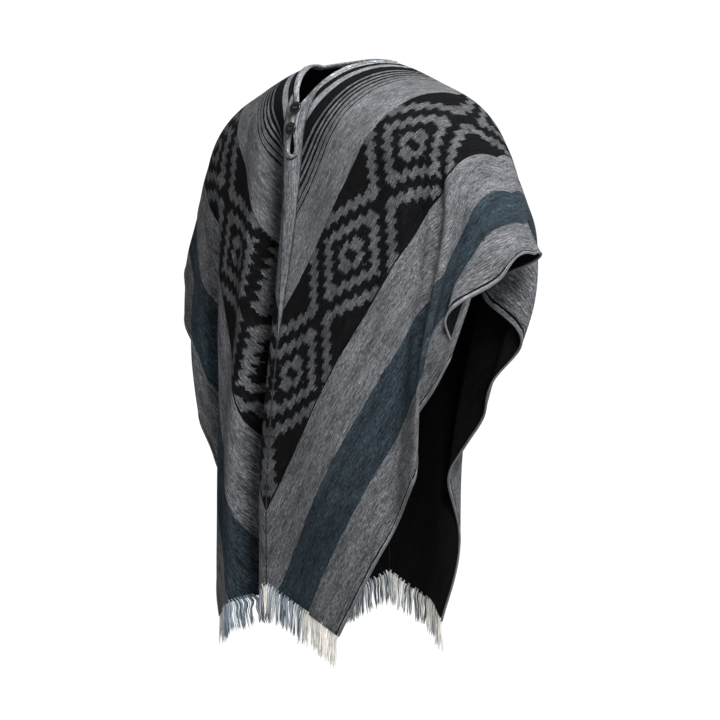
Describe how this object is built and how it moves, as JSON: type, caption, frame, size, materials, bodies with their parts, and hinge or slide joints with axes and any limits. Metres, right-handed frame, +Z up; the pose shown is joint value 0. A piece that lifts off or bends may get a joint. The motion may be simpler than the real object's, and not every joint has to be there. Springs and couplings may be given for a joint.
{
  "type": "andean poncho",
  "caption": "Loom-width wool poncho, worn: two striped panels over the shoulders, seamed on the bias at centre, with a bound buttoned slit and fringed ends.",
  "frame": {"origin": "between the wearer's shoulders, level with the tops of the shoulders beside the neck, where the wearer holds the poncho up", "axes": "+Z up, front towards -Y, the wearer's left towards +X"},
  "size_m": [0.6574, 0.3076, 0.9055],
  "materials": {
    "striped_wool": "brushed wool in grey, black and slate stripes with stepped diamonds",
    "plain_wool": "plain grey brushed wool",
    "binding_wool": "pale grey knitted wool binding",
    "fringe_wool": "loose cream and pale blue-grey warp ends",
    "horn": "dark satin"
  },
  "bodies": {
    "root": {"panel_left": "striped_wool", "panel_right": "striped_wool", "placket": "plain_wool", "neck_binding": "binding_wool", "button_upper": "horn", "button_lower": "horn", "fringe_front_left": "fringe_wool", "fringe_front_right": "fringe_wool", "fringe_back_left": "fringe_wool", "fringe_back_right": "fringe_wool"}
  },
  "joints": []
}
